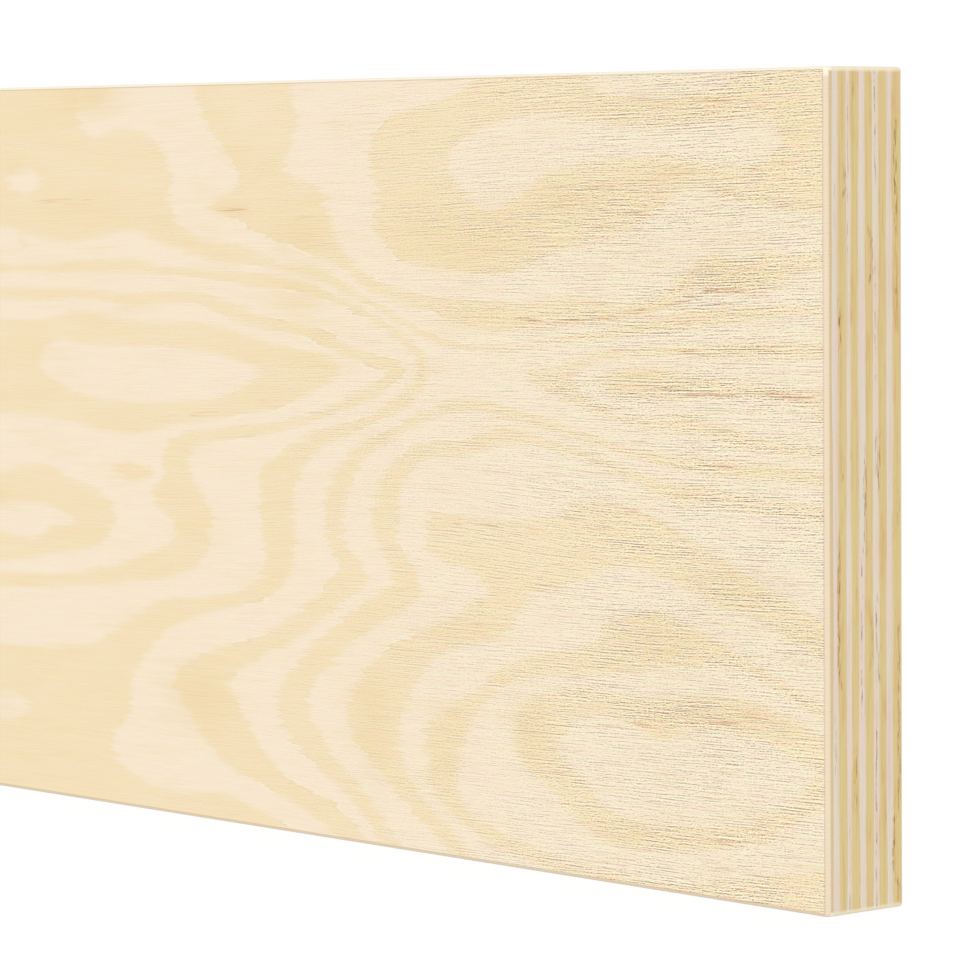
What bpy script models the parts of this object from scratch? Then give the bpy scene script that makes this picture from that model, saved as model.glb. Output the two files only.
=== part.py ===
"""Plywood panel, 600 x 140 x 18 mm: eleven veneers glued up with their grain crossed.

The panel lies flat with its face veneer up. X runs along the panel and its face grain,
Y runs across it and Z runs up, from the centre of the underside. Sizes are in metres.
Run it with: blender --background --python part.py
"""

import math

import bmesh
import bpy

# Outline of the panel
PANEL_LENGTH = 0.600
PANEL_WIDTH = 0.140

# The easing sanded on every arris, the corners of the stack included
ARRIS_RADIUS = 0.00065
ARRIS_SEGMENTS = 5

# The film of cured resin that holds two veneers together
GLUE_LINE = 0.00005

# Veneer thicknesses, from the face down: no two peels come out quite alike
FACE_VENEER = 0.00140
CROSS_PLY_2 = 0.00105
LONG_PLY_3 = 0.00220
CROSS_PLY_4 = 0.00070
LONG_PLY_5 = 0.00210
CROSS_PLY_6 = 0.00115
LONG_PLY_7 = 0.00205
CROSS_PLY_8 = 0.00105
LONG_PLY_9 = 0.00205
CROSS_PLY_10 = 0.00105
BACK_VENEER = 0.00270

# Edges that meet more sharply than this stay crisp
SMOOTH_ANGLE = math.radians(30)

# Wood finishes: sRGB colour from 0 to 255, and roughness
FINISHES = {
    "face_veneer": ((244, 226, 195), 0.50),
    "long_veneer": ((222, 199, 152), 0.65),
    "cross_veneer": ((225, 208, 188), 0.65),
    "back_veneer": ((240, 222, 190), 0.55),
}

# The lay-up from the face down: name, thickness and finish. Every second veneer has its
# grain across the panel, so there is an odd number and both outer ones run lengthwise.
LAY_UP = (
    ("face_veneer", FACE_VENEER, "face_veneer"),
    ("cross_ply_2", CROSS_PLY_2, "cross_veneer"),
    ("long_ply_3", LONG_PLY_3, "long_veneer"),
    ("cross_ply_4", CROSS_PLY_4, "cross_veneer"),
    ("long_ply_5", LONG_PLY_5, "long_veneer"),
    ("cross_ply_6", CROSS_PLY_6, "cross_veneer"),
    ("long_ply_7", LONG_PLY_7, "long_veneer"),
    ("cross_ply_8", CROSS_PLY_8, "cross_veneer"),
    ("long_ply_9", LONG_PLY_9, "long_veneer"),
    ("cross_ply_10", CROSS_PLY_10, "cross_veneer"),
    ("back_veneer", BACK_VENEER, "back_veneer"),
)


def clear_scene():
    for item in list(bpy.data.objects):
        bpy.data.objects.remove(item, do_unlink=True)


def linear_channel(value):
    """Turn one sRGB channel, 0 to 255, into linear light."""
    share = value / 255
    if share <= 0.04045:
        return share / 12.92
    return ((share + 0.055) / 1.055) ** 2.4


def wood_finish(name):
    colour, roughness = FINISHES[name]
    material = bpy.data.materials.new(name)
    material.use_nodes = True
    shader = material.node_tree.nodes["Principled BSDF"]
    shader.inputs["Base Color"].default_value = (*map(linear_channel, colour), 1)
    shader.inputs["Roughness"].default_value = roughness
    shader.inputs["Metallic"].default_value = 0
    return material


def stack_height():
    """Height of the whole panel: the veneers and the resin between them."""
    veneers = sum(thickness for _, thickness, _ in LAY_UP)
    return veneers + GLUE_LINE * (len(LAY_UP) - 1)


def is_corner_edge(edge):
    """True for the four edges that stand upright at the corners of the sheet."""
    low, high = edge.verts
    return abs(low.co.z - high.co.z) > abs(low.co.x - high.co.x) + abs(low.co.y - high.co.y)


def is_rim_edge(edge, side):
    """True for the four edges round the top (side 1) or the underside (side -1)."""
    return all(vert.co.z * side > 0 for vert in edge.verts)


def veneer_mesh(name, thickness, outer_side):
    """A flat sheet centred on its own origin.

    Its corners are eased, and so is the rim of its outer side: 1 for the top, -1 for the
    underside and 0 for a sheet inside the stack, whose rims stay square.
    """
    sheet = bmesh.new()
    bmesh.ops.create_cube(sheet, size=1)
    bmesh.ops.scale(sheet, vec=(PANEL_LENGTH, PANEL_WIDTH, thickness), verts=sheet.verts)
    eased = [
        edge
        for edge in sheet.edges
        if is_corner_edge(edge) or (outer_side and is_rim_edge(edge, outer_side))
    ]
    bmesh.ops.bevel(
        sheet,
        geom=eased,
        affect="EDGES",
        offset=ARRIS_RADIUS,
        offset_type="OFFSET",
        segments=ARRIS_SEGMENTS,
        profile=0.5,
        clamp_overlap=True,
    )
    mesh = bpy.data.meshes.new(name)
    sheet.to_mesh(mesh)
    sheet.free()
    mesh.shade_smooth()
    mesh.set_sharp_from_angle(angle=SMOOTH_ANGLE)
    return mesh


def lay_up_panel():
    """Stack the veneers from the face down, each one glue line below the last."""
    panel = bpy.data.objects.new("plywood_panel", None)
    bpy.context.scene.collection.objects.link(panel)
    finishes = {name: wood_finish(name) for name in FINISHES}
    top = stack_height()
    for place, (name, thickness, finish) in enumerate(LAY_UP):
        outer_side = {0: 1, len(LAY_UP) - 1: -1}.get(place, 0)
        mesh = veneer_mesh(name, thickness, outer_side)
        mesh.materials.append(finishes[finish])
        veneer = bpy.data.objects.new(name, mesh)
        veneer.parent = panel
        veneer.location.z = top - thickness / 2
        bpy.context.scene.collection.objects.link(veneer)
        top -= thickness + GLUE_LINE


clear_scene()
lay_up_panel()
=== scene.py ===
import math

import bpy
import numpy as np
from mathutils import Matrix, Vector


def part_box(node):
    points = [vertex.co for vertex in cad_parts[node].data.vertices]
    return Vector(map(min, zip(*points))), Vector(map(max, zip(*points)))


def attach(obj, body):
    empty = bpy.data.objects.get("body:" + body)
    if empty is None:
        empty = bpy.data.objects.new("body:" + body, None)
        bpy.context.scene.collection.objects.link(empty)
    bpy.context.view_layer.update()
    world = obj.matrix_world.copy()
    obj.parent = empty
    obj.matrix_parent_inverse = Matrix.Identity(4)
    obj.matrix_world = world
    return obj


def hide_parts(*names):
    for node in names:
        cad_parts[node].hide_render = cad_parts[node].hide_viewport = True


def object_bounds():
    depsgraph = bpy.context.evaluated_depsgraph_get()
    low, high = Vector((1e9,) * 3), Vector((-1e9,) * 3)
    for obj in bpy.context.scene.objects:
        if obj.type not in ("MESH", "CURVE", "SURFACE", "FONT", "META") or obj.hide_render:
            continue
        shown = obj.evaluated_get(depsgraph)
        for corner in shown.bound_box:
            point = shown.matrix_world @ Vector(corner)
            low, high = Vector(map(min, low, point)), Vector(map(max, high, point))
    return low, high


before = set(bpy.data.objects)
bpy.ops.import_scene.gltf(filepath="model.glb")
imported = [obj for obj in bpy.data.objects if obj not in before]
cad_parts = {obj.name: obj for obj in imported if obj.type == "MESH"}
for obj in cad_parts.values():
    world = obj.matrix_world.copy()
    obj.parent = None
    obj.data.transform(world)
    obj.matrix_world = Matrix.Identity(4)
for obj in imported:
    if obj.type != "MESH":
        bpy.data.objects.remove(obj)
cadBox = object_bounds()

mm = 0.001
lowCorner, highCorner = cadBox
halfLength = (highCorner.x - lowCorner.x) / 2
halfWidth = (highCorner.y - lowCorner.y) / 2
panelThickness = highCorner.z - lowCorner.z

# the lay-up, and how the stack of veneers is cut at its edges
layUp = {
    "nodes": ["back_veneer", "cross_ply_10", "long_ply_9", "cross_ply_8", "long_ply_7", "cross_ply_6",
              "long_ply_5", "cross_ply_4", "long_ply_3", "cross_ply_2", "face_veneer"],  # bottom to top
    "arris": 0.65 * mm,       # radius on the outer rims and the four corners
    "arcSteps": 6,            # facets round a quarter circle
    "wander": 0.18 * mm,      # how far a glue line strays from its level
    "groove": 0.04 * mm,      # depth of the nick at a glue line
    "grooveShare": 0.06,      # part of a ply's thickness taken up by the nick
    "coarseStep": 2.8 * mm,   # spacing of the points round an inner ply
    "faceSteps": (358, 214),  # cells along and across the face
    "spineShare": 0.8,        # length of the hidden seam that closes a ply's flat sides
}
arris = layUp["arris"]

# ring value: growth lines on the face, in millimetres from the near end and from the centre line
growthLines = {
    0.5: [
      [(-218, 15.5), (-212, 20.5), (-200, 19.5), (-180, 20), (-160, 18.5), (-149.5, 15.5), (-160, 11),
       (-175, 9.5), (-195, 9), (-210, 11), (-218, 15.5)],
      [(-207, -15), (-217, -12.5), (-232, -12), (-262, -14), (-292, -16.5), (-262, -18), (-232, -18.5),
       (-221, -19.5), (-216, -17), (-207, -15)],
    ],
    1.0: [
      [(-125, 17), (-133, 20), (-150, 22), (-165, 24.5), (-190, 24.5), (-205, 26), (-220, 24),
       (-240, 23.5), (-270, 20.5), (-292, 13.5), (-265, 6), (-240, 5), (-225, 5.5), (-205, 4),
       (-190, 2.5), (-180, 4), (-170, 5.5), (-158, 7), (-148, 8.5), (-140, 10), (-132, 13), (-125, 17)],
      [(-195, -15), (-196, -11), (-202, -8), (-209, -7), (-216, -4.5), (-224, -5), (-240, -7),
       (-300, -9.5), (-335, -13), (-345, -16.5), (-330, -20.5), (-290, -24), (-240, -25), (-212, -21.5),
       (-200, -19.5), (-195, -15)],
      [(-194, -4.5), (-188, -3), (-182.5, -5), (-189, -6.5), (-194, -4.5)],
    ],
    1.5: [
      [(-112, 16.5), (-120, 18.5), (-135, 22.5), (-150, 24.5), (-160, 26), (-168, 28.5), (-180, 28),
       (-188, 27), (-200, 28.5), (-220, 28), (-262, 27), (-320, 23), (-350, 16), (-372, 6), (-390, -12),
       (-380, -20), (-345, -25.5), (-300, -27.5), (-240, -27), (-210, -25.5), (-190, -22), (-177, -17.5),
       (-175.5, -14), (-181.5, -10), (-179, -4), (-178, 1), (-170, 4), (-160, 5), (-145, 6.5),
       (-130, 9.5), (-118, 14), (-112, 16.5)],
    ],
    2.0: [
      [(-107.5, 16.5), (-109, 19), (-120, 20.5), (-130, 24), (-145, 26), (-165, 30), (-190, 30),
       (-210, 30.5), (-240, 30), (-300, 29.5), (-340, 27), (-380, 19), (-410, 7), (-428, -14),
       (-415, -22), (-370, -29), (-300, -31), (-240, -30), (-210, -28), (-190, -26), (-172, -23),
       (-165, -18), (-164, -11), (-170, -4), (-169, 0.5), (-160, 2.5), (-146, 4.5), (-130, 8),
       (-115, 12.5), (-107.5, 16.5)],
      [(6, 14.5), (-10, 15), (-28, 15), (-40, 14.5), (-50, 14), (-54, 16.5), (-50, 19), (-42, 19.5),
       (-30, 18.5), (-15, 17.5), (6, 17)],
    ],
    2.5: [
      [(-103.5, 17), (-108, 22.5), (-122, 28), (-136, 31), (-150, 32), (-170, 33.5), (-190, 34),
       (-240, 33.5), (-300, 34), (-360, 32), (-410, 25), (-450, 12), (-472, -8), (-455, -25), (-400, -35),
       (-320, -40.5), (-240, -41), (-206, -39.5), (-193, -35), (-180, -29), (-162, -27), (-150, -23.5),
       (-147.5, -19), (-149, -10), (-146, -1), (-131, 5.5), (-115, 9.5), (-103.5, 17)],
      [(-240, -54), (-232, -50.5), (-223, -53), (-230, -56), (-240, -54)],
      [(6, 23.5), (-10, 22), (-45, 21.5), (-58, 19.5), (-61.5, 16), (-54, 12.5), (-42, 11), (-32, 12),
       (-20, 9.5), (-9, 8), (6, 6)],
    ],
    3.0: [
      [(-272, -71), (-310, -58), (-380, -48), (-450, -38), (-500, -24), (-514, -8), (-480, 19),
       (-430, 31), (-370, 36.5), (-300, 36.5), (-240, 35), (-220, 35), (-192, 36.5), (-175, 35),
       (-145, 34), (-122, 29.5), (-106, 23), (-100.5, 17), (-106, 11), (-120, 6), (-132, 2), (-138.5, -5),
       (-139, -18), (-146, -26), (-168, -31), (-180, -36), (-189.5, -45), (-190, -51), (-196.5, -58),
       (-189, -63.5), (-175, -65.5), (-158, -65), (-134, -71)],
      [(6, 25), (-10, 24.5), (-47, 23), (-62, 20.5), (-71.5, 16.5), (-62, 13), (-46, 9.5), (-30, 9),
       (-20, 6.5), (-5, 5.5), (6, 4.5)],
    ],
    3.5: [
      [(-355, -71), (-430, -55), (-500, -42), (-545, -25), (-556, -8), (-548, 8), (-510, 25), (-450, 37),
       (-380, 42), (-300, 42.5), (-240, 43), (-213, 40), (-200, 40.5), (-188, 42), (-180, 40), (-170, 38),
       (-158, 36), (-138, 34.5), (-115, 28), (-100, 23), (-84, 21), (-65, 23), (-38, 26), (-10, 29),
       (6, 29.5)],
      [(-228, 51.5), (-222, 49), (-217.5, 52), (-223, 54.5), (-228, 51.5)],
      [(6, 3.5), (-20, 4.5), (-45, 5.5), (-75, 11), (-92, 12.5), (-110, 7), (-121, 2.5), (-128, -4),
       (-130, -11), (-128, -16.5), (-125.5, -19.5), (-135, -26.5), (-144, -31.5), (-153, -34.5),
       (-164, -37.5), (-171, -40), (-176, -44.5), (-166, -55), (-157, -60), (-138, -65), (-123, -71)],
    ],
    4.0: [
      [(-606, 2), (-580, 18), (-535, 34), (-470, 46), (-400, 51), (-330, 54), (-290, 62), (-276, 71)],
      [(-204, 71), (-205, 66), (-201, 60), (-190, 61.5), (-180, 59), (-175, 53), (-175.5, 46), (-168, 41),
       (-152, 39), (-142, 36), (-129, 35), (-108, 27), (-92, 22.5), (-76, 23), (-45, 27), (-30, 30),
       (6, 31)],
      [(6, 1.5), (-28, 2), (-45, 4), (-75, 9), (-92, 10.5), (-109, 5.5), (-120, -1), (-124.5, -9),
       (-124, -15), (-119.5, -18.5), (-118.5, -22), (-128, -27.5), (-137, -33), (-146, -36.5),
       (-153, -39.5), (-158.5, -43.5), (-150.5, -53), (-143, -59.5), (-129, -63), (-115, -71)],
      [(-606, -30), (-570, -42), (-520, -53), (-450, -71)],
    ],
    4.5: [
      [(-168, 71), (-164, 62), (-154, 52), (-163, 46.5), (-155, 44), (-145, 41), (-126, 36), (-115, 31),
       (-100, 28), (-83, 25), (-60, 26.5), (-40, 29), (-30, 33), (-17, 32.5), (-5, 36.5), (6, 37)],
      [(6, -2), (-15, -1.5), (-29, 0), (-42, 1), (-66, 6), (-78, 8), (-90, 5.5), (-102, 4.5), (-112, -1),
       (-116, -7), (-115.5, -13), (-111, -20), (-114, -23.5), (-121, -26.5), (-128, -31), (-136, -36),
       (-143.5, -43.5), (-141, -52), (-122.5, -62.5), (-113, -71)],
      [(-330, 71), (-350, 63), (-410, 57), (-480, 52), (-550, 42), (-606, 27)],
      [(-606, -48), (-560, -60), (-530, -71)],
    ],
    5.0: [
      [(-139.5, 71), (-137, 61.5), (-140.5, 53.5), (-130, 49.5), (-125, 40), (-114, 33.5), (-100, 31),
       (-80, 30), (-60, 31.5), (-43, 31), (-29, 38.5), (-19, 38.5), (-14, 40), (-8, 39), (6, 41)],
      [(6, -4.5), (-15, -4), (-28, -3), (-35, -3.5), (-50, 1), (-66, 4.5), (-80, 5), (-93, 2), (-100, 2),
       (-107.5, -3), (-109, -11), (-108, -15), (-102.5, -20.5), (-106, -25.5), (-118, -30.5), (-133, -41),
       (-135.5, -46), (-127, -55), (-117.5, -61.5), (-107, -71)],
      [(-350, 71), (-372, 66.5), (-430, 61), (-500, 56), (-560, 48.5), (-606, 40)],
      [(-606, -56), (-575, -66), (-562, -71)],
    ],
    5.5: [
      [(-84, 71), (-93, 66.5), (-111, 62.5), (-116.5, 57), (-114, 49), (-115, 43), (-107, 37), (-93, 35),
       (-78, 35.5), (-64, 39.5), (-50, 42), (-40, 46), (-33, 50.5), (-24, 48.5), (-4, 46), (6, 46.5)],
      [(-60, 71), (-52, 66), (-30, 66), (-17, 71)],
      [(6, -23.5), (-10, -18), (-30, -10), (-47, -4.5), (-58, -4), (-72, -8), (-95, -8), (-100.5, -9.5),
       (-100.5, -15), (-88, -18.5), (-85.5, -21.5), (-90, -24.5), (-101, -29.5), (-113, -33.5),
       (-124, -44.5), (-120, -52.5), (-104, -63.5), (-93, -71)],
      [(-420, 71), (-450, 68), (-520, 63), (-606, 51)],
    ],
    6.0: [
      [(-94, 56), (-84, 61), (-68, 63), (-40, 60), (-15, 62), (-11, 57), (-20, 53.5), (-40, 55.5),
       (-66, 53), (-82, 46), (-91, 50), (-94, 56)],
      [(6, -30), (-10, -23.5), (-26, -19.5), (-43, -15), (-50, -14.5), (-62, -18.5), (-73, -21.5),
       (-80, -28.5), (-99, -34.5), (-109, -47.5), (-105, -58), (-86, -71)],
    ],
    6.5: [
      [(6, -37.5), (-12, -31), (-27, -25.5), (-41, -22), (-51, -24), (-58, -29), (-78, -33.5),
       (-99, -45.5), (-102, -49), (-98.5, -59.5), (-82, -66.5), (-55, -71)],
    ],
    7.0: [
      [(6, -40.5), (-17, -31.5), (-31, -30.5), (-52, -33.5), (-79, -37), (-90.5, -47), (-93, -56),
       (-87, -62.5), (-64, -67), (-40, -68.5), (-17, -65), (6, -61)],
    ],
    7.5: [
      [(6, -42), (-19, -35.5), (-46, -37.5), (-60, -36.5), (-75, -40.5), (-77, -49), (-66, -56.5),
       (-54, -63), (-40, -63), (-17, -59.5), (0, -51), (6, -48)],
    ],
    8.0: [
      [(-66, -48), (-59.5, -52.5), (-48, -58.5), (-23, -57), (-7.5, -51), (-4.5, -45.5), (-18, -41.5),
       (-33, -41), (-40, -44), (-50, -40.5), (-61, -42), (-66, -48)],
    ],
}

# hills and hollows between the growth lines: x, y, ring value
growthSpots = [
    (-185, 14.5, 0.25), (-205, 15, 0.3), (-165, 14.5, 0.3), (-230, 14, 0.75), (-140, 15.5, 0.75),
    (-225, -15.5, 0.3), (-188.5, -5, 0.9), (-250, -1, 1.25), (-270, -1, 1.25), (-310, 3, 1.25),
    (-345, 0, 1.25), (-365, -9, 1.25), (-210, -34, 2.25), (-225, -35, 2.25), (-195, -31, 2.25),
    (-230, -53, 2.4), (-237, -46, 2.7), (-225, -46, 2.75), (-210, -50, 2.75), (-200, -46, 2.75),
    (-215, -60, 2.8), (-235, -61, 2.75), (-228, -67, 2.75), (-200, -66, 2.85), (-230, 39, 3.25),
    (-215, 37.5, 3.25), (-260, 39.5, 3.25), (-223, 51.5, 3.4), (-222, 45, 3.7), (-235, 47, 3.7),
    (-235, 56, 3.7), (-209, 47, 3.7), (-210, 55, 3.75), (-224, 60, 3.75), (-215, 67, 3.8),
    (-237, 66, 3.75), (-190, 50, 3.75), (-93, 17, 3.3), (-86, 16.5, 3.3), (-79, 16.5, 3.3),
    (-140, 46, 4.75), (-148, 58, 4.75), (-95, -3, 5.25), (-88, -3, 5.25), (-80, -1.5, 5.25),
    (-70, -0.5, 5.25), (-60, 0, 5.25), (-50, -1.5, 5.3), (-15, -9, 5.25), (0, -12, 5.25), (-38, 68, 5.4),
    (-80, 54, 6.25), (-45, 57.5, 6.2), (-25, 57.5, 6.2), (-84, -50, 7.25), (-84, -56, 7.25),
    (-80, -60, 7.25), (-74, -58, 7.3), (-50, -49, 8.3), (-30, -49, 8.3), (-15, -48, 8.3),
]

# places where the wood is deeper or paler: x, y, reach along and across, more tan, more brown
growthTones = [
    (-200, 67.5, 12, 3.5, 0.7, 0), (-224, 54, 4, 1.5, 0.4, 0), (-232, -53, 10, 3, 0.35, 0),
    (-234, -12, 6, 1.5, 0.5, 0), (-236, 35, 6, 3, 0.35, 0), (-137, 29, 12, 2.5, 0.35, 0),
    (-112, 29, 12, 4, -0.15, 0), (-125, 24, 20, 5, 0.12, 0), (-25, -58, 25, 9, 0.1, 0),
    (-25, 28, 25, 9, 0.1, 0), (-200, 44.5, 22, 3, 0.12, 0.03), (-136, 41, 10, 4, 0.25, 0.03),
    (-157, 46, 6, 1.5, 0.3, 0.06), (-158, 56, 5, 2, 0.3, 0), (-150, 65, 12, 6, -0.25, 0),
    (-170, -46, 10, 6, 0.3, 0.05), (-117, -47, 6, 12, 0.35, 0.05), (-95, -47, 6, 6, 0.25, 0.03),
    (-73, -45, 5, 6, 0.4, 0.04), (-85, 42, 28, 5, 0.45, 0.03), (-60, 49, 14, 3, 0.25, 0.1),
    (-38, 51, 12, 2.5, 0.1, 0.1), (-35, 64, 22, 2, 0.15, 0.12), (-8, 57, 8, 12, 0.2, 0),
    (-22, 35.5, 10, 2.5, 0.35, 0.1), (-85, 27, 14, 2, 0.35, 0), (-38, -27, 14, 4, 0.2, 0.14),
    (-20, -17, 12, 4, 0.15, 0.12), (-4, -25, 6, 4, 0.2, 0.1), (-30, -38.5, 18, 2.5, 0.3, 0.2),
    (-45, 17, 10, 2.5, 0.2, 0.12), (-95, -29, 12, 3, 0.2, 0.06), (-80, -11, 16, 4, -0.15, 0),
    (-45, -61, 18, 2, 0.2, 0.02), (-65, 22, 20, 2, -0.5, 0), (-200, 57, 22, 5, -0.12, 0),
    (-136, 36, 12, 10, 0.1, 0), (-170, -46, 14, 12, 0.08, 0), (-170, -18, 14, 8, 0.07, 0),
    (-204, 36, 12, 8, 0.08, 0), (-34, 40, 16, 8, 0.05, 0.03), (-34, -46, 16, 8, 0.04, 0.02),
]

# dark gummy streaks along the fibres: strength, then the points they run through
growthStreaks = [
    (0.35, [(-220, 47.5), (-198, 47.5)]), (0.6, [(-162, 46), (-151, 46)]),
    (0.6, [(-151, 10), (-145, 10)]), (0.45, [(-182, 5.5), (-172, 7), (-160, 8)]),
    (0.35, [(-139, 44.5), (-130, 44.5)]), (0.4, [(-107, 41.5), (-99, 42)]),
    (0.35, [(-86, 36), (-76, 36)]), (0.3, [(-69, 15.5), (-60, 15.5)]),
    (0.7, [(-78, 27), (-66, 27), (-55, 27.5), (-49, 28.5), (-41, 29.5), (-34, 31), (-28, 33), (-14, 33)]),
    (0.75, [(-43, 16), (-30, 15.5), (-12, 16), (3, 15)]), (0.5, [(-70, 50.5), (-60, 50), (-48, 50)]),
    (0.6, [(-46, 53), (-36, 53), (-27, 52.5)]), (0.35, [(-69, 47), (-60, 47)]),
    (0.5, [(-51, 45.5), (-39, 47)]), (0.35, [(-28, 50), (-20, 50)]), (0.5, [(-14, 47), (3, 47.5)]),
    (0.45, [(-52, 61.5), (-43, 61.5)]), (0.55, [(-34, 65), (-26, 64.5), (-19, 64.5)]),
    (0.4, [(-49, 65.5), (-40, 65.5)]), (0.4, [(-28, 68.5), (-19, 68.5)]),
    (0.5, [(-42, 22.5), (-30, 22.5), (-8, 24)]), (0.35, [(-27, 10), (-19, 9)]),
    (0.4, [(-31, 3.5), (-18, 3.5)]), (0.6, [(-35, -2), (-25, -2)]),
    (0.45, [(-67, -5.5), (-60, -4.5), (-52, -4), (-46, -5), (-32, -9.5)]),
    (0.35, [(-97, -9), (-88, -10), (-77, -9), (-69, -10)]), (0.35, [(-28, -12), (-19, -13.5)]),
    (0.4, [(-45, -23), (-35, -23.5)]), (0.55, [(-53, -30), (-46, -30)]),
    (0.5, [(-45, -36.5), (-36, -36.5)]), (0.7, [(-21, -38), (-12, -38)]),
    (0.5, [(-40, -40), (-30, -39.5), (-19, -39.5)]), (0.45, [(-50, -41.5), (-37, -42)]),
    (0.6, [(-50, -59.5), (-41, -60)]), (0.4, [(-32, -60), (-18, -59.5)]), (0.3, [(-32, -65), (-17, -64)]),
    (0.3, [(-88, -66.5), (-78, -67.5)]), (0.3, [(-80, -35), (-70, -34.5)]),
    (0.35, [(-92, -28), (-83, -27)]), (0.4, [(-14, -41), (-3, -40.5)]),
]

# swells in the run of the fibres: x, y, reach along and across, height
fibreSwells = [(-110, -10, 40, 14, 2.4)]

# rougher and smoother places: x, y, reach along and across, share added to the grain
grainPatches = [
    (-118, 60, 14, 8, 0.3), (-142, 46, 9, 4, 0.55), (-75, 44, 16, 4.5, 0.45), (-116, 8, 12, 7, 0.3),
    (-155, 14, 16, 5, 0.25), (-112, -5, 12, 4, 0.25), (-60, -4, 12, 4, 0.2), (-178, -15, 10, 5, 0.3),
    (-75, -16, 24, 5, -0.25), (-145, -46, 8, 5, 0.35), (-90, -47, 12, 8, -0.22), (-2, -45, 9, 16, -0.25),
    (-25, -56, 10, 5, 0.2), (-8, 60, 16, 9, -0.2), (-66, -36, 12, 4, 0.22), (-45, 15, 30, 5, 0.16),
    (-205, -42, 24, 16, -0.3), (-62, 62, 6, 6, -0.18), (-92, 15, 8, 5, -0.25), (-107, 26, 10, 4, -0.2),
    (-132, 7, 14, 11, 0.5), (-128, 40, 20, 20, 0.15),
]

growthField = {
    "nearStep": 2.5,        # millimetres between points along a line on the near part
    "farStep": 9.0,         # and on the rest
    "nearReach": 245,       # where the near part ends
    "ease": 0.3,            # how far the sheet may miss a line, which keeps it smooth
    "block": 40,            # grid columns worked out at one time
    "streakFade": 5.0,      # length over which a streak tapers off, in millimetres
    "streakReach": 1.8,     # how far from its line a streak is felt
    "streakSoftness": 0.6,  # the outer part of that, where it fades
    "noStreak": 9.0,        # distance given where no streak runs
}


# A Catmull-Rom curve: every span is the cubic through its two ends whose slopes are
# half the step from the point before to the point after.
def smoothLine(points):
    p = np.array(points, float)
    closed = np.allclose(p[0], p[-1])
    before = p[-2] if closed else 2 * p[0] - p[1]
    after = p[1] if closed else 2 * p[-1] - p[-2]
    p = np.vstack([before, p, after])
    pieces = []
    for a, b, c, d in zip(p, p[1:], p[2:], p[3:]):
        near = max(b[0], c[0]) > -growthField["nearReach"]
        step = growthField["nearStep"] if near else growthField["farStep"]
        count = max(1, round(np.hypot(*(c - b)) / step))
        t = (np.arange(count) / count)[:, None]
        pieces.append(b + 0.5 * t * (c - a + t * (2 * a - 5 * b + 4 * c - d + t * (3 * b - a - 3 * c + d))))
    if not closed:
        pieces.append(p[-2:-1])
    return np.vstack(pieces)


# A thin sheet bent through all the growth lines at their ring values: the sum over the
# points of weight times r squared times log r, plus a plane. Its level curves are the rings.
def bentSheet(gridX, gridY):
    lines = [(smoothLine(line), value) for value, group in growthLines.items() for line in group]
    points = np.vstack([line for line, value in lines] + [[spot[:2] for spot in growthSpots]])
    values = np.concatenate([np.full(len(line), value) for line, value in lines]
                            + [[spot[2] for spot in growthSpots]])

    def bend(ax, ay, bx, by):
        square = (ax - bx) ** 2 + (ay - by) ** 2
        return square * np.log(square + 1e-9)  # the small number keeps the logarithm finite

    def plane(x, y):
        return np.stack([np.ones(len(x)), x / 100, y / 100], 1)

    px, py = points.T
    flat = plane(px, py)
    stiff = bend(px[:, None], py[:, None], px, py) + growthField["ease"] * np.eye(len(px))
    system = np.block([[stiff, flat], [flat.T, np.zeros((3, 3))]])
    weights = np.linalg.solve(system, np.concatenate([values, np.zeros(3)]))

    rings = np.empty((len(gridX), len(gridY)))
    block = growthField["block"]
    for start in range(0, len(gridX), block):
        x = gridX[start:start + block, None].repeat(len(gridY), 1).ravel()
        y = np.tile(gridY, len(x) // len(gridY))
        sheet = bend(x[:, None], y[:, None], px, py) @ weights[:-3]
        sheet += plane(x, y) @ weights[-3:]
        rings[start:start + block] = sheet.reshape(-1, len(gridY))
    return rings


# The extra tan, the brown, the fibres' swell and the roughness are sums of soft bumps,
# each exp of minus the squared distance over its reach. A streak keeps how far a point
# lies above its line, and its strength there.
def faceMarks(gridX, gridY):
    x, y = np.meshgrid(gridX, gridY, indexing="ij")

    def bumps(rows):
        total = np.zeros_like(x)
        for centreX, centreY, along, across, height in rows:
            total += height * np.exp(-((x - centreX) / along) ** 2 - ((y - centreY) / across) ** 2)
        return total

    tan = bumps([row[:5] for row in growthTones])
    brown = bumps([row[:4] + row[5:] for row in growthTones])
    above = np.full_like(x, growthField["noStreak"])
    strength = np.zeros_like(x)
    for dark, points in growthStreaks:
        lineX, lineY = np.array(points, float).T
        offset = y - np.interp(x, lineX, lineY)
        taper = np.clip(np.minimum(x - lineX[0], lineX[-1] - x) / growthField["streakFade"], 0, 1)
        fade = np.clip((growthField["streakReach"] - np.abs(offset)) / growthField["streakSoftness"], 0, 1)
        near = (np.abs(offset) < np.abs(above)) & (taper > 0)
        above[near] = offset[near]
        strength[near] = (dark * taper * fade)[near]
    return np.stack([tan, brown, strength, above, bumps(fibreSwells), bumps(grainPatches)], -1)


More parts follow.
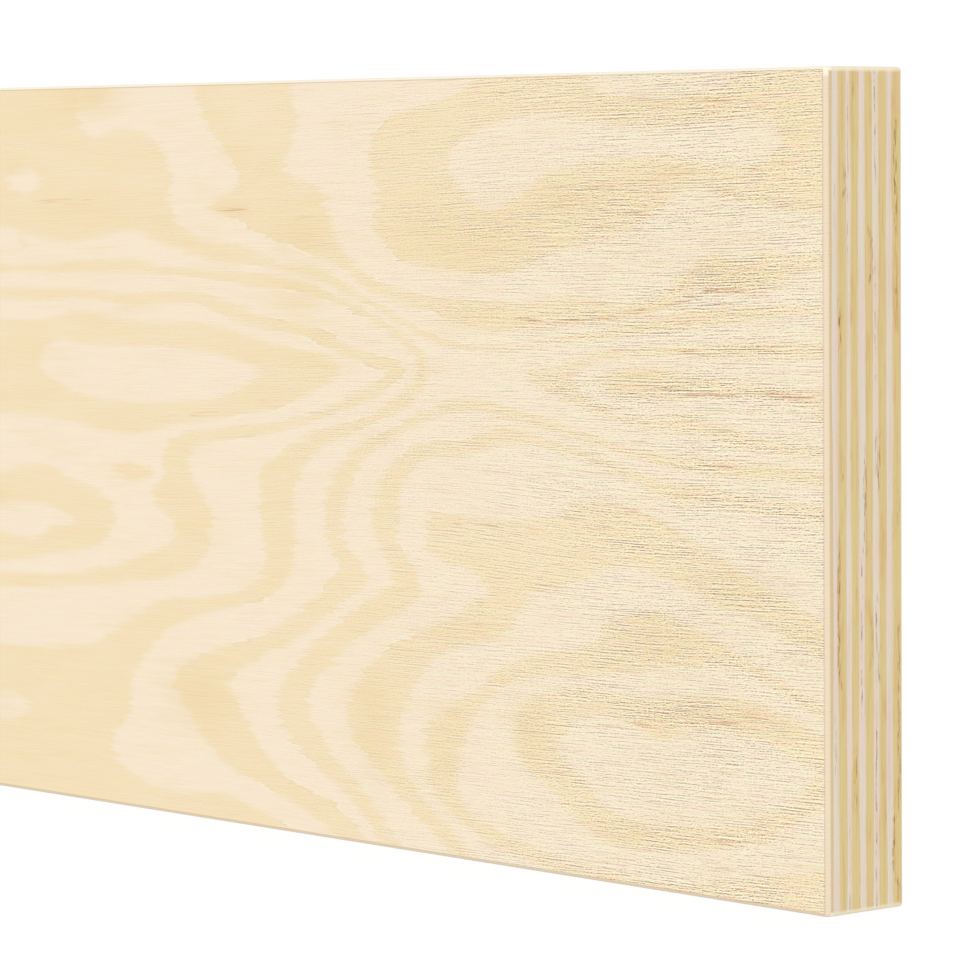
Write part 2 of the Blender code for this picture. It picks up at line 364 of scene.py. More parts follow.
# Points round the panel, counterclockwise from the near end: each is a centre plus the
# corner radius less the inset, along an outward direction that turns only at the corners.
# Each point also has the column and row of the face grid's rim point that it meets.
def outline(alongX, alongY):
    turn = np.arange(1, layUp["arcSteps"]) / layUp["arcSteps"] * math.pi / 2
    columns = np.arange(len(alongX))
    rows = np.arange(len(alongY))
    sides = [(np.full_like(rows, columns[-1]), rows), (columns[::-1], np.full_like(columns, rows[-1])),
             (np.zeros_like(rows), rows[::-1]), (columns, np.zeros_like(columns))]
    numbers = []
    angles = []
    for quarter, (column, row) in enumerate(sides):
        start = quarter * math.pi / 2
        numbers += [np.stack([column, row], 1), np.tile([column[-1], row[-1]], (len(turn), 1))]
        angles += [np.full(len(column), start), start + turn]
    column, row = np.vstack(numbers).T
    angle = np.concatenate(angles)
    centres = np.stack([alongX[column], alongY[row]], 1)
    directions = np.stack([np.cos(angle), np.sin(angle)], 1).round(12)
    return centres, directions, column, row


# The height of a glue line: its level plus three slow waves along the panel's edge. The
# two outer faces of the panel, numbered first and last, stay flat.
def glueHeight(level, number, x, y):
    if number in (0, len(layUp["nodes"])):
        return np.full(len(x), level)
    along = (x + y) / mm
    wave = (0.5 * np.sin(along / 11.3 + 1.7 * number) + 0.3 * np.sin(along / 4.9 + 2.9 * number + 1)
            + 0.4 * np.sin(along / 27 + 4.3 * number + 2))
    return level + layUp["wander"] * wave


# Faces between two rings of point numbers that run the same way. Where one ring stands
# still the face is a triangle, and where both do there is none.
def bridge(lower, upper):
    a, b, c, d = lower, np.roll(lower, -1), np.roll(upper, -1), upper
    whole = (a != b) & (c != d)
    lowTip = (a == b) & (c != d)
    highTip = (a != b) & (c == d)
    return (np.stack([a, b, c, d], 1)[whole].tolist() + np.stack([a, c, d], 1)[lowTip].tolist()
            + np.stack([a, b, c], 1)[highTip].tolist())


# The cut edge of a ply as inset and height: an outer rim is a quarter circle, and a glue
# line is a small nick.
def edgeProfile(low, high, roundBelow, roundAbove):
    nick = layUp["grooveShare"] * (high - low)
    quarter = np.arange(layUp["arcSteps"] + 1) / layUp["arcSteps"] * math.pi / 2
    arc = [(arris * (1 - math.cos(angle)), arris * (1 - math.sin(angle))) for angle in quarter]
    below = [(arris, low), (layUp["groove"], low), (0, low + nick)]
    above = [(0, high - nick), (layUp["groove"], high), (arris, high)]
    if roundBelow:
        below = [(inset, low + rise) for inset, rise in reversed(arc)]
    if roundAbove:
        above = [(inset, high - rise) for inset, rise in arc]
    return below + above


# A node's name as a piece's name, such as crossPly2.
def pieceName(node):
    first, *others = node.split("_")
    return first + "".join(word.capitalize() for word in others)


# Puts new data into the scene as an object.
def addObject(name, data):
    added = bpy.data.objects.new(name, data)
    bpy.context.scene.collection.objects.link(added)
    return added


# One number or three for each point of a mesh, for its material to read.
def setAttribute(mesh, name, values):
    kind, field = ("FLOAT", "value") if values.ndim == 1 else ("FLOAT_VECTOR", "vector")
    mesh.attributes.new(name, kind, "POINT").data.foreach_set(field, values.ravel())


# One ply: rings of points stacked from the seam that closes its underside, up its cut
# edge, to the seam or the grid that closes its top. Each point keeps its share of the
# ply's thickness, and on the face a row of growth values.
def makePly(node, number, alongX, alongY, bottom, top, growth=None):
    centres, directions, column, row = outline(alongX, alongY)
    outer = centres + arris * directions
    low = glueHeight(bottom, number, *outer.T)
    high = glueHeight(top, number + 1, *outer.T)
    profile = edgeProfile(low, high, number == 0, growth is not None)
    if growth is not None:
        profile.pop()  # the grid's own rim stands in for the innermost ring
    corner = {}
    shrunk = np.array([corner.setdefault(spot, index) for index, spot in enumerate(zip(column, row))])

    zeros = np.zeros(len(alongX))
    seam = np.stack([alongX * layUp["spineShare"], zeros], 1)
    blocks = [np.column_stack([seam, zeros + bottom])]
    shares = [zeros]
    loops = [column]
    for inset, height in profile:
        used = sum(map(len, blocks))
        blocks.append(np.column_stack([centres + (arris - inset) * directions, height]))
        shares.append((height - low) / (high - low))
        loops.append(used + (shrunk if inset >= arris else np.arange(len(column))))
    used = sum(map(len, blocks))
    if growth is None:
        blocks.append(np.column_stack([seam, zeros + top]))
        shares.append(zeros + 1)
        loops.append(used + column)
    else:
        gridX, gridY = np.meshgrid(alongX, alongY, indexing="ij")
        blocks.append(np.column_stack([gridX.ravel(), gridY.ravel(), np.full(gridX.size, top)]))
        shares.append(np.ones(gridX.size))
        loops.append(used + column * len(alongY) + row)

    faces = []
    smooth = []
    for index, (lower, upper) in enumerate(zip(loops, loops[1:])):
        added = bridge(lower, upper)
        faces += added
        rounded = number == 0 and index in range(1, layUp["arcSteps"] + 1)
        rounded = rounded or (growth is not None and index >= len(loops) - 1 - layUp["arcSteps"])
        smooth += [rounded] * len(added)
    if growth is not None:
        grid = used + np.arange(gridX.size).reshape(gridX.shape)
        cells = np.stack([grid[:-1, :-1], grid[1:, :-1], grid[1:, 1:], grid[:-1, 1:]], -1).reshape(-1, 4)
        faces += cells.tolist()
        smooth += [False] * len(cells)

    # leave out the points that no face uses
    needed, renumbered = np.unique(np.concatenate([np.array(face) for face in faces]), return_inverse=True)
    ends = np.cumsum([len(face) for face in faces])
    faces = [chunk.tolist() for chunk in np.split(renumbered, ends[:-1])]

    name = pieceName(node)
    mesh = bpy.data.meshes.new(name)
    mesh.from_pydata(np.vstack(blocks)[needed].tolist(), [], faces)
    mesh.polygons.foreach_set("use_smooth", smooth)
    setAttribute(mesh, "share", np.concatenate(shares)[needed])
    rings = len(blocks) - 2
    if growth is None:
        loose = np.zeros((len(seam), 3))
        marks = np.tile(plyMarks(node, number, *outer.T), (rings, 1))
        setAttribute(mesh, "marks", np.vstack([loose, marks, loose])[needed])
    else:
        kinds = growth.shape[2]
        rim = np.tile(growth[column, row], (rings, 1))
        values = np.vstack([np.zeros((len(seam), kinds)), rim, growth.reshape(-1, kinds)])[needed]
        for part, three in zip(("rings", "tones", "lines"), np.split(values, 3, axis=1)):
            setAttribute(mesh, part, three)
    mesh.validate()
    mesh.update()
    return addObject(name, mesh)


# A colour written as on screen, from 0 to 255, made linear.
def colour(red, green, blue):
    shown = np.array([red, green, blue]) / 255
    linear = np.where(shown <= 0.04045, shown / 12.92, ((shown + 0.055) / 1.055) ** 2.4)
    return (*linear.tolist(), 1.0)


# A finish's values, with its colours made linear.
def linearLook(values):
    return {key: colour(*value) if np.shape(value) == (3,) else value for key, value in values.items()}


# Puts a node in the tree, sets its properties, and fills or links its inputs in order.
def addNode(tree, kind, inputs=(), **properties):
    node = tree.nodes.new(kind)
    for key, value in properties.items():
        setattr(node, key, value)
    sockets = [socket for socket in node.inputs if socket.enabled]
    for socket, value in zip(sockets, inputs):
        if isinstance(value, bpy.types.NodeSocket):
            tree.links.new(value, socket)
        elif value is not None:
            socket.default_value = value
    return node


# The same, in the tree that its linked inputs belong to. Gives the node's output.
def derive(kind, inputs, output=0, **properties):
    tree = next(value.id_data for value in inputs if isinstance(value, bpy.types.NodeSocket))
    return addNode(tree, kind, inputs, **properties).outputs[output]


def calc(operation, *values):
    return derive("ShaderNodeMath", values, operation=operation)


def times(product, *factors):
    for factor in factors:
        product = calc("MULTIPLY", product, factor)
    return product


# How far a value lies from a centre.
def apart(value, centre):
    return calc("ABSOLUTE", calc("SUBTRACT", value, centre))


# A smooth step from one value to another as the first goes from low to high.
def ease(value, low, high, start=0.0, end=1.0):
    return derive("ShaderNodeMapRange", (value, low, high, start, end), interpolation_type="SMOOTHSTEP")


def blend(share, first, second):
    return derive("ShaderNodeMix", (share, first, second), 2, data_type="RGBA")


# Turns a colour a little to pink where the share is high, and to green where it is low.
def tint(share, amount, base):
    green = (1 - amount / 2, 1 + amount, 1 - amount / 2, 1)
    pink = (1 + amount / 2, 1 - amount, 1 + amount / 2, 1)
    factor = blend(share, green, pink)
    return derive("ShaderNodeMix", (1.0, base, factor), 2, data_type="RGBA", blend_type="MULTIPLY")


# Smooth noise whose lumps have the given lengths in millimetres along x, y and z.
def lumps(place, lengths, detail=2.0, shift=0.0, rough=0.5):
    scale = tuple(1 / length for length in lengths)
    scaled = derive("ShaderNodeMapping", (place, (shift, shift, shift), None, scale))
    return derive("ShaderNodeTexNoise", (scaled, 1.0, detail, rough))


def newMaterial(name, roughness, gloss=0.3):
    material = bpy.data.materials.new(name)
    material.use_nodes = True
    tree = material.node_tree
    shader = tree.nodes["Principled BSDF"]
    shader.inputs["Roughness"].default_value = roughness
    shader.inputs["Specular IOR Level"].default_value = gloss
    return material, tree, shader


# The panel's place in millimetres, and its parts.
def placeInMm(tree):
    place = addNode(tree, "ShaderNodeTexCoord").outputs["Object"]
    place = derive("ShaderNodeVectorMath", (place, (1000, 1000, 1000)), operation="MULTIPLY")
    return place, addNode(tree, "ShaderNodeSeparateXYZ", (place,)).outputs


# The three numbers that a mesh keeps for each point under one name.
def attributeParts(tree, name):
    vector = addNode(tree, "ShaderNodeAttribute", attribute_name=name).outputs["Vector"]
    return addNode(tree, "ShaderNodeSeparateXYZ", (vector,)).outputs


# Millimetres inwards from the nearer end, and from the nearer long side.
def fromEdges(x, y):
    return [calc("SUBTRACT", half / mm, calc("ABSOLUTE", along))
            for half, along in ((halfLength, x), (halfWidth, y))]


# Gives the shader its colour, and a relief a tenth of a millimetre deep.
def dress(tree, shader, wood, height, strength, invert=False):
    bump = addNode(tree, "ShaderNodeBump", (strength, 0.1 * mm), invert=invert)
    tree.links.new(wood, shader.inputs["Base Color"])
    tree.links.new(height, bump.inputs["Height"])
    tree.links.new(bump.outputs[0], shader.inputs["Normal"])


faceLook = {
    "earlyFar": (248, 231, 206),   # pale early wood away from the near end
    "earlyNear": (249, 234, 206),  # and at it
    "lateFar": (245, 224, 185),    # tan late wood
    "lateNear": (249, 228, 186),
    "golden": (240, 214, 162),     # deeper patches of tan
    "brown": (216, 178, 126),      # darker patches
    "pore": (156, 134, 100),       # the fine dark dashes, and the pores, which are partly painted shade
    "redPore": (188, 132, 88),     # some of them are redder
    "glint": (255, 250, 232),      # painted highlights beside the pores, and on torn edges
    "gum": (194, 122, 66),         # the gummy streaks
    "resin": (208, 140, 94),       # reddish threads
    "hairline": (200, 178, 150),   # a thin darker line along the rim
    "rim": (232, 213, 186),        # the eased rim
    "upperRimHighlight": (248, 238, 220),   # painted highlight on the rim along the upper long side, and at the corners
    "core": (214, 191, 146),       # the veneer's own cut edge
    "clearGrain": (151, 18),       # the grain grows stronger between these distances from the near end
    "nearGrain": 0.83,             # by this much
    "faintGrain": (150, 220, 0.125, 0.07),  # two distances, and its least strength at each
    "farGrain": (260, 350, 0, 0.55),        # the same where it comes back further along
    "bandSoftness": 0.95,          # millimetres over which late wood turns to early wood
    "comb": 12.0,                  # how far single fibres carry a band's edge along the grain
    "fray": 1.4,                   # and across it
    "streaks": 0.9,                # how much long streaks deepen the wood
    "clouds": 0.7,                 # and slow clouds
    "tilt": 0.022,                 # rise of the fibres towards the near end
    "sway": 2.0,                   # millimetres that the fibres swing
    "jag": 0.04,                   # and that they are jagged
    "lip": 0.4,                    # strength of the painted highlight on a torn edge
    "tornShade": 0.25,                # and of the painted shade in the line beside it
    "tornFrom": (60, 100),         # torn edges come in over this stretch
    "tornTo": (185, 140),          # and are gone past this one
    "dark": 0.88,                  # strength of the pores, partly painted shade
    "pale": 0.95,                  # strength of the painted highlights beside them
    "sand": 0.9,                   # strength of the sandy speckle
    "dashes": 0.4,                 # strength of the long dashes
    "threads": 0.45,               # and of the reddish threads
    "mottle": 0.08,                # how far small patches turn pink or green
    "fleckTint": 0.085,            # and single fibres
    "hairlineShare": 0.6,          # how much of the hairline shows
    "roughness": 0.55,
    "relief": 0.35,                # strength of the bumps
}

# the pores, partly painted shade, in four sizes: length, thickness, distance to their painted highlights,
# strength
faceFibres = [(15, 0.3, 0.17, 1.35), (5.5, 0.28, 0.17, 1.3), (1.9, 0.26, 0.16, 0.9), (0.5, 0.25, 0.15, 1.0)]

# noise on the face: lengths of its lumps along x, y and z, detail, shift, roughness
faceNoise = {
    "sway": ((80, 35, 40), 1),
    "jag": ((3, 1.2, 2), 1, 4),
    "comb": ((16, 0.9, 9), 4, 3, 0.7),
    "fray": ((11, 1.1, 9), 2, 37),
    "streak": ((16, 0.9, 9), 3, 23, 0.6),
    "cloud": ((24, 5, 9), 2, 43),
    "torn": ((14, 5, 9), 1, 109),
    "patch": ((24, 6, 9), 2, 5),
    "sand": ((0.45, 0.24, 9), 0, 61),
    "redness": ((9, 0.7, 9), 2, 67),
    "dash": ((9, 0.27, 9), 1, 47),
    "thread": ((14, 0.27, 9), 1, 31),
    "gum": ((10, 0.27, 9), 1, 53),
    "mottle": ((8, 1.3, 9), 2, 97, 0.6),
    "fleckTint": ((0.9, 0.24, 9), 1, 101),
}


# Fine relief of the fibres: noise stretched along them, less the same noise a little above
# and a little below, so that each dark pore, partly painted shade, has one broad painted highlight beside
# it and one narrow one.
def relief(fibre, lengths, offset, shift):
    here = lumps(fibre, lengths, 1, shift)
    for step, weight in ((offset, 0.68), (-offset, 0.32)):
        moved = derive("ShaderNodeVectorMath", (fibre, (0, step, 0)), operation="ADD")
        here = calc("MULTIPLY_ADD", lumps(moved, lengths, 1, shift), -weight, here)
    return here


def faceMaterial():
    look = linearLook(faceLook)
    material, tree, shader = newMaterial("clearVeneer", look["roughness"])

    def noise(along, name):
        return lumps(along, *faceNoise[name])

    def centred(along, name):
        return calc("SUBTRACT", noise(along, name), 0.5)

    def cover(base, amount, name):
        return blend(amount, base, look[name])

    place, (x, y, z) = placeInMm(tree)
    ring, rise, slope = attributeParts(tree, "rings")
    moreTan, moreBrown, gumStrength = attributeParts(tree, "tones")
    above, swell, rough = attributeParts(tree, "lines")
    fromNear = calc("SUBTRACT", halfLength / mm, x)
    nearness = ease(fromNear, *look["clearGrain"])
    faint = ease(fromNear, *look["faintGrain"])
    strength = calc("MULTIPLY_ADD", nearness, look["nearGrain"], faint)
    strength = calc("MAXIMUM", strength, ease(fromNear, *look["farGrain"]))
    strength = times(strength, calc("ADD", rough, 1))

    # the fibres: they rise a little towards the near end, sway, and are slightly jagged
    sway = times(centred(place, "sway"), look["sway"])
    jag = times(centred(place, "jag"), look["jag"])
    level = calc("SUBTRACT", calc("ADD", y, calc("ADD", sway, jag)), swell)
    fibre = derive("ShaderNodeCombineXYZ", (x, calc("MULTIPLY_ADD", x, -look["tilt"], level), z))

    # late wood where the ring value is in the upper half of its year, with frayed edges
    combed = calc("MULTIPLY_ADD", times(centred(fibre, "comb"), look["comb"]), rise, ring)
    combed = calc("MULTIPLY_ADD", times(centred(fibre, "fray"), look["fray"]), slope, combed)
    phase = calc("FRACT", calc("SUBTRACT", combed, 0.25))
    inside = calc("SUBTRACT", 0.25, apart(phase, 0.5))
    depth = calc("DIVIDE", inside, calc("MAXIMUM", slope, 0.012))
    late = ease(depth, -look["bandSoftness"], look["bandSoftness"])

    # long soft streaks and slow clouds make the wood a little deeper or paler
    drift = calc("ADD", times(centred(fibre, "streak"), look["streaks"]),
                 times(centred(place, "cloud"), look["clouds"]))
    deeper = calc("ADD", moreTan, drift)
    early = blend(nearness, look["earlyFar"], look["earlyNear"])
    tan = blend(nearness, look["lateFar"], look["lateNear"])
    wood = blend(late, early, tan)
    wood = cover(wood, calc("MAXIMUM", deeper, 0), "golden")
    wood = blend(calc("MAXIMUM", times(deeper, -1), 0), wood, early)
    wood = cover(wood, moreBrown, "brown")

    # here and there a band's edge is torn up: a painted highlight as a pale lip outside it and painted
    # shade as a darker line inside
    torn = times(ease(noise(place, "torn"), 0.48, 0.66),
                 ease(fromNear, *look["tornFrom"]), ease(fromNear, *look["tornTo"]))
    for centre, share, name in ((-0.2, "lip", "glint"), (0.2, "tornShade", "brown")):
        edge = ease(apart(depth, centre), 0.28, 0.05, 0, look[share])
        wood = cover(wood, times(edge, torn), name)

    # pores in four lengths, partly painted shade, with painted highlights beside them, denser in some
    # patches and in late wood
    patch = ease(noise(place, "patch"), 0.3, 0.7, 0.7, 1.25)
    dense = times(strength, times(patch, calc("MULTIPLY_ADD", late, 0.3, 0.78)))
    carved = times(centred(place, "sand"), look["sand"])
    for length, thickness, offset, weight in faceFibres:
        grain = relief(fibre, (length, thickness, 9), offset, 7 + length)
        carved = calc("MULTIPLY_ADD", grain, weight, carved)
    dark = times(ease(carved, 0.0, 0.56), times(dense, look["dark"]))
    pale = times(ease(carved, 0.0, -0.46), times(dense, look["pale"]))
    redness = ease(noise(fibre, "redness"), 0.47, 0.7)
    wood = blend(dark, wood, blend(redness, look["pore"], look["redPore"]))
    wood = cover(wood, pale, "glint")

    # long dark dashes and thin reddish threads, mostly near the end
    dash = ease(noise(fibre, "dash"), 0.67, 0.76)
    dash = times(dash, times(strength, look["dashes"]))
    wood = blend(dash, wood, blend(redness, look["pore"], look["gum"]))
    thread = ease(noise(fibre, "thread"), 0.67, 0.76)
    wood = cover(wood, times(thread, times(strength, look["threads"])), "resin")

    # gummy streaks: clusters of fine dashes along a line
    near = ease(calc("ABSOLUTE", above), 0.8, 0.1)
    gum = times(ease(noise(fibre, "gum"), 0.52, 0.64), near, gumStrength)
    wood = cover(wood, gum, "gum")

    # small and tiny patches that are a little pinker or greener
    spread = ease(fromNear, *look["clearGrain"], 0.55, 1.0)
    for name, share in (("mottle", spread), ("fleckTint", strength)):
        pinkness = calc("MULTIPLY_ADD", centred(fibre, name), share, 0.5)
        wood = tint(pinkness, look[name], wood)

    # the rim, with a painted highlight along the upper long side, the hairline beside it, and the veneer's
    # cut edge below it, with a painted highlight at the corners
    fromEnd, fromSide = fromEdges(x, y)
    radius = arris / mm
    fromLine = calc("MINIMUM", fromEnd, calc("ADD", fromSide, 0.14))
    line = times(ease(fromLine, radius - 0.1, radius), ease(fromLine, radius + 0.22, radius + 0.1))
    wood = cover(wood, times(line, look["hairlineShare"]), "hairline")
    onUpper = ease(y, halfWidth / mm - 2, halfWidth / mm - 1)
    rim = blend(onUpper, look["rim"], look["upperRimHighlight"])
    wood = blend(ease(fromLine, radius, radius - 0.06), wood, rim)
    belowRim = calc("SUBTRACT", panelThickness / mm - radius - 0.05, z)
    corner = ease(calc("MAXIMUM", fromEnd, fromSide), radius + 0.4, radius - 0.25)
    cutEdge = blend(corner, look["core"], look["upperRimHighlight"])
    wood = blend(ease(belowRim, 0, 0.1), wood, cutEdge)
    dress(tree, shader, wood, times(carved, strength), look["relief"], invert=True)
    return material


plyLook = {
    "endGrain": (218, 194, 142),   # plies cut across their fibres
    "endGreen": (216, 198, 140),
    "endDark": (205, 174, 118),
    "endRed": (206, 152, 90),
    "sideGrain": (226, 208, 195),  # plies cut along their fibres
    "sideCream": (223, 213, 195),
    "sideDark": (214, 194, 176),
    "sideRed": (220, 180, 168),
    "backEarly": (247, 231, 206),  # the underside
    "backLate": (241, 219, 180),
    "sideFleck": (150, 112, 112),  # dark flecks
    "endFleck": (150, 104, 58),
    "glue": (206, 176, 140),       # the glue line
    "rim": (240, 226, 200),        # painted highlight on the eased corners and the lower rim
    "rimHighlightShare": 0.9,               # how much of the painted highlight shows
    "flecks": 0.95,                # strength of the flecks
    "backBands": 11,               # how many growth bands cross the underside's noise
    "roughness": 0.7,
    "relief": 0.15,
}

# noise in the plies, as for the face; the last four are on the underside
plyNoise = {
    "streak": ((20, 20, 0.4), 3, 0, 0.62),
    "cloud": ((9, 9, 1.6), 2, 5),
    "haze": ((14, 14, 3), 2, 15),
    "grit": ((0.5, 0.5, 0.2), 2, 9),
    "wave": ((2.2, 2.2, 6), 2, 61),
    "glue": ((12, 12, 3), 2, 41),
    "blot": ((4, 4, 0.7), 2, 51),
    "dash": ((2.6, 2.6, 0.2), 2, 31, 0.6),
    "backFibre": ((26, 0.5, 9), 3, 83, 0.6),
    "backPore": ((7, 0.3, 9), 1, 89),
    "backRing": ((520, 75, 90), 1, 73),
    "backFray": ((18, 1.1, 9), 3, 79),
}

# flecks and stains on the near end: from y to y, share of the ply's thickness, flecks, stain
endFlecks = {
    "cross_ply_2": [(-2, -5, 0.6, 0.4, 0), (-37, -45, 0.5, 0.7, 0), (50, 44, 0.5, 0.3, 0.3)],
    "long_ply_3": [(55, 48, 0.1, 0.8, 0.3), (31, 22, 0.75, 0.9, 0.3), (-7, -31, 0.85, 1.0, 0.9),
                   (7, 0, 0.5, 0.5, 0.4)],
    "cross_ply_4": [(70, 50, 0.5, 0.6, 1.0), (-50, -70, 0.4, 0.8, 0.6), (50, 38, 0.8, 0.5, 0.2)],
    "long_ply_5": [(70, 64, 0.6, 0.7, 0.2), (-44, -54, 0.5, 0.9, 0.5)],
    "cross_ply_6": [(-5, -38, 0.55, 1.0, 0.3), (8, -9, 0.1, 0.9, 0)],
    "long_ply_7": [(43, 34, 0.15, 0.9, 0.9), (3, -10, 0.92, 0.9, 0.3), (-20, -28, 0.2, 0.3, 0.5)],
    "cross_ply_8": [(70, 50, 0.5, 1.0, 0.4), (40, 18, 0.6, 0.6, 0.1), (10, 0, 0.4, 0.7, 0.2),
                    (-17, -70, 0.5, 1.0, 0.5)],
    "long_ply_9": [(9, -2, 0.85, 0.9, 0.2), (-26, -31, 0.9, 0.8, 0)],
    "cross_ply_10": [(-30, -50, 0.5, 0.15, 0.2)],
    "back_veneer": [(62, 44, 0.6, 0.9, 0.2), (39, 27, 0.6, 0.6, 0.5), (-22, -70, 0.4, 0.7, 0.2),
                    (-54, -66, 0.9, 0.9, 0.5), (1, -6, 0.4, 0.4, 0.1)],
}


# Round an inner ply: how strong the flecks are, where in its thickness they lie, and how
# strong the stain is. Away from the near end slow waves set them.
def plyMarks(node, number, x, y):
    along = (x + y) / mm
    wave = np.sin(along / 23 + 5 * number) + 0.6 * np.sin(along / 61 + 2 * number)
    strength = 0.7 * np.clip(wave - 0.3, 0, 1)
    centre = 0.5 + 0.3 * np.sin(along / 37 + 3 * number)
    stain = 0.5 * np.clip(np.sin(along / 47 + 7 * number) - 0.3, 0, 1)
    onNearEnd = x > halfLength - arris
    strength[onNearEnd] = 0
    stain[onNearEnd] = 0
    for start, end, share, flecks, stains in endFlecks.get(node, []):
        inside = onNearEnd & (y / mm < start) & (y / mm > end)
        strength[inside] = flecks
        centre[inside] = share
        stain[inside] = stains
    return np.stack([strength, centre, stain], 1)


def plyMaterial(node, crossed, number):
    look = linearLook(plyLook)
    material, tree, shader = newMaterial(node + "Wood", look["roughness"])

    def noise(name):
        lengths, detail, shift, *rough = plyNoise[name]
        return lumps(place, lengths, detail, 13.7 * number + shift, *rough)

    def cover(base, amount, name):
        return blend(amount, base, look[name])

    place, (x, y, z) = placeInMm(tree)
    share = addNode(tree, "ShaderNodeAttribute", attribute_name="share").outputs["Fac"]
    strength, centre, stain = attributeParts(tree, "marks")
    radius = arris / mm

    # which cut shows: the fibres' ends, or their sides
    onEnd = ease(calc("ABSOLUTE", x), halfLength / mm - 0.7, halfLength / mm - 0.4)
    endCut = calc("SUBTRACT", 1, onEnd) if crossed else onEnd

    streak, cloud, haze, grit = [noise(name) for name in ("streak", "cloud", "haze", "grit")]
    ends = blend(ease(haze, 0.35, 0.65), look["endGrain"], look["endGreen"])
    ends = cover(ends, ease(streak, 0.45, 0.75, 0, 0.8), "endDark")
    ends = cover(ends, ease(cloud, 0.56, 0.8, 0, 0.45), "endRed")
    sides = blend(ease(haze, 0.4, 0.6), look["sideGrain"], look["sideCream"])
    sides = cover(sides, ease(streak, 0.45, 0.8, 0, 0.8), "sideDark")

    # at a glue line the pale side grain blurs into the end grain, with a darker line now and then
    fromMiddle = apart(share, 0.5)
    wavy = calc("MULTIPLY_ADD", noise("wave"), 0.16, calc("SUBTRACT", fromMiddle, 0.08))
    blur = times(ease(wavy, 0.35, 0.48), ease(cloud, 0.3, 0.7, 0.95, 0.6))
    ends = cover(ends, blur, "sideGrain")
    glueShows = ease(noise("glue"), 0.5, 0.7, 0, 0.6)
    ends = cover(ends, times(ease(fromMiddle, 0.47, 0.5), glueShows), "glue")

    # stains, and flecks in short dashes
    away = apart(share, centre)
    blot = ease(noise("blot"), 0.38, 0.62)
    blot = times(blot, ease(away, 0.42, 0.1, 0, 0.6), stain)
    wood = blend(endCut, cover(sides, blot, "sideRed"), cover(ends, blot, "endRed"))
    wood = cover(wood, ease(grit, 0.6, 0.8, 0, 0.2), "endDark")
    fleck = times(ease(noise("dash"), 0.51, 0.61), ease(away, 0.22, 0.06),
                  times(strength, look["flecks"]))
    wood = blend(fleck, wood, blend(endCut, look["sideFleck"], look["endFleck"]))

    # the underside: flat-sawn bands, which are the level lines of long smooth noise
    if number == 0:
        rings = times(noise("backRing"), look["backBands"])
        rings = calc("MULTIPLY_ADD", noise("backFray"), 0.25, rings)
        fromBand = apart(calc("FRACT", rings), 0.5)
        sheet = blend(ease(fromBand, 0.3, 0.2), look["backEarly"], look["backLate"])
        sheet = cover(sheet, ease(noise("backFibre"), 0.45, 0.75, 0, 0.5), "backLate")
        sheet = cover(sheet, ease(noise("backPore"), 0.62, 0.74, 0, 0.45), "endDark")
        wood = blend(ease(z, 0.25, 0.05), wood, sheet)

    # painted highlight on the eased corners, and on the rim round the underside
    fromEnd, fromSide = fromEdges(x, y)
    rim = ease(calc("MAXIMUM", fromEnd, fromSide), radius + 0.4, radius - 0.25)
    if number == 0:
        lower = calc("MAXIMUM", calc("MINIMUM", fromEnd, fromSide), z)
        rim = calc("MAXIMUM", rim, ease(lower, radius, radius - 0.12))
    wood = cover(wood, times(rim, look["rimHighlightShare"]), "rim")
    dress(tree, shader, wood, calc("ADD", streak, grit), look["relief"])
    return material


# Even steps from end to end of a length's flat part.
def stations(half, cells):
    return np.linspace(-1, 1, cells + 1) * (half - arris)


coarseX, coarseY = [stations(half, 2 * round((half - arris) / layUp["coarseStep"]))
                    for half in (halfLength, halfWidth)]
fineX, fineY = [stations(half, cells) for half, cells in zip((halfLength, halfWidth), layUp["faceSteps"])]

fromNearEnd = (fineX - halfLength) / mm
ring = bentSheet(fromNearEnd, fineY / mm)
rise, climb = np.gradient(ring, fineX / mm, fineY / mm)
rings = np.stack([ring, rise, np.hypot(rise, climb)], -1)
faceGrowth = np.concatenate([rings, faceMarks(fromNearEnd, fineY / mm)], -1)  # ring, rise, slope and marks
print("growth rings laid out, values", ring.min().round(2), "to", ring.max().round(2))

boxes = [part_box(node) for node in layUp["nodes"]]
middles = [(below[1].z + above[0].z) / 2 for below, above in zip(boxes, boxes[1:])]
levels = [lowCorner.z] + middles + [highCorner.z]
for number, node in enumerate(layUp["nodes"]):
    onFace = node == "face_veneer"
    stationsX, stationsY = (fineX, fineY) if onFace else (coarseX, coarseY)
    piece = makePly(node, number, stationsX, stationsY,
                    levels[number], levels[number + 1], faceGrowth if onFace else None)
    crossed = node.startswith("cross")
    piece.data.materials.append(faceMaterial() if onFace else plyMaterial(node, crossed, number))
    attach(piece, "root")
    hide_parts(node)
    print("made", piece.name)


studio = {
    "floorSize": 8.0,                  # metres
    "floorColour": (232, 232, 232),
    "floorRoughness": 0.9,
    "shadowShare": 0.2,                # how much of the floor's shading the camera sees
    "floorWhite": 1.06,                # the bare floor's brightness to the camera
    "worldStrength": 0.76,
    "sunStrength": 1.15,
    "sunFrom": (0.62, 0.38, 0.68),     # towards the sun
    "sunSpread": 35.0,                 # degrees
    "eye": (0.8577, 0.0562, 0.5802),   # metres
    "turn": (-4.377, 48.850, -0.680),  # degrees about x, y and z
    "sensor": 36.0,                    # millimetres
    "lens": 181.19,
}


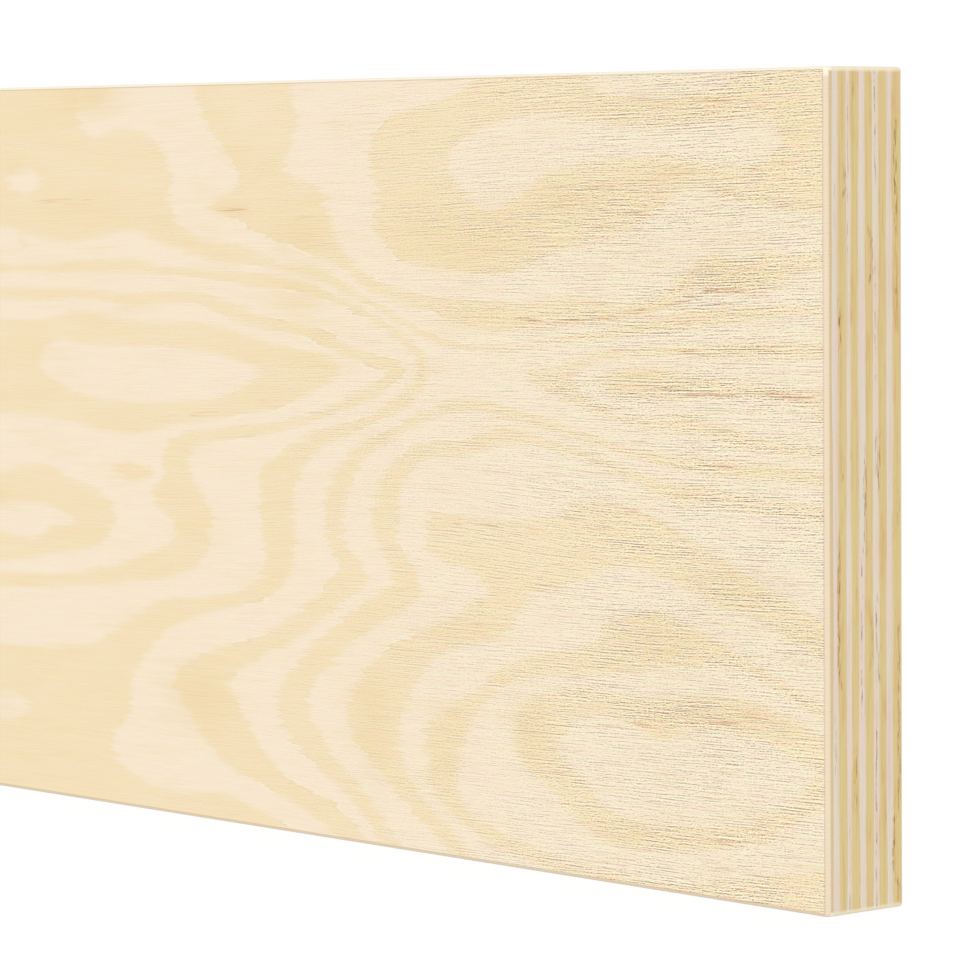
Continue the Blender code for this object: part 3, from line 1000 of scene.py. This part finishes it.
# The floor shows white to the camera and in reflections, and takes the panel's shadow.
def makeFloor():
    mesh = bpy.data.meshes.new("floor")
    half = studio["floorSize"] / 2
    corners = [(-half, -half, 0), (half, -half, 0), (half, half, 0), (-half, half, 0)]
    mesh.from_pydata(corners, [], [(0, 1, 2, 3)])
    floor = addObject("floor", mesh)
    material, tree, shader = newMaterial("paleFloor", studio["floorRoughness"])
    shader.inputs["Base Color"].default_value = colour(*studio["floorColour"])
    path = addNode(tree, "ShaderNodeLightPath")
    seen = calc("MAXIMUM", path.outputs["Is Camera Ray"],
                calc("MAXIMUM", path.outputs["Is Glossy Ray"], path.outputs["Is Transmission Ray"]))
    share = studio["shadowShare"]
    shaded = addNode(tree, "ShaderNodeBsdfDiffuse", ((share, share, share, 1.0),))
    white = addNode(tree, "ShaderNodeEmission", (None, studio["floorWhite"] - share))
    glow = addNode(tree, "ShaderNodeAddShader", (shaded.outputs[0], white.outputs[0]))
    shown = addNode(tree, "ShaderNodeMixShader", (seen, shader.outputs[0], glow.outputs[0]))
    tree.links.new(shown.outputs[0], tree.nodes["Material Output"].inputs["Surface"])
    mesh.materials.append(material)


def makeLight():
    world = bpy.data.worlds.new("studioLight")
    world.use_nodes = True
    bpy.context.scene.world = world
    tree = world.node_tree
    background = tree.nodes["Background"]
    background.inputs["Color"].default_value = (1, 1, 1, 1)
    path = addNode(tree, "ShaderNodeLightPath")
    strength = ease(path.outputs["Is Camera Ray"], 0, 1, studio["worldStrength"], 1.0)
    tree.links.new(strength, background.inputs["Strength"])
    data = bpy.data.lights.new("softSun", "SUN")
    data.energy = studio["sunStrength"]
    data.angle = math.radians(studio["sunSpread"])
    sun = addObject("softSun", data)
    sun.rotation_euler = Vector(studio["sunFrom"]).to_track_quat("Z", "Y").to_euler()


def makeCamera():
    data = bpy.data.cameras.new("camera")
    data.sensor_width = studio["sensor"]
    data.lens = studio["lens"]
    camera = addObject("camera", data)
    camera.location = studio["eye"]
    camera.rotation_euler = [math.radians(angle) for angle in studio["turn"]]
    bpy.context.scene.camera = camera


makeFloor()
makeLight()
makeCamera()
bpy.context.scene.view_settings.view_transform = "Standard"
print("floor, light and camera ready")
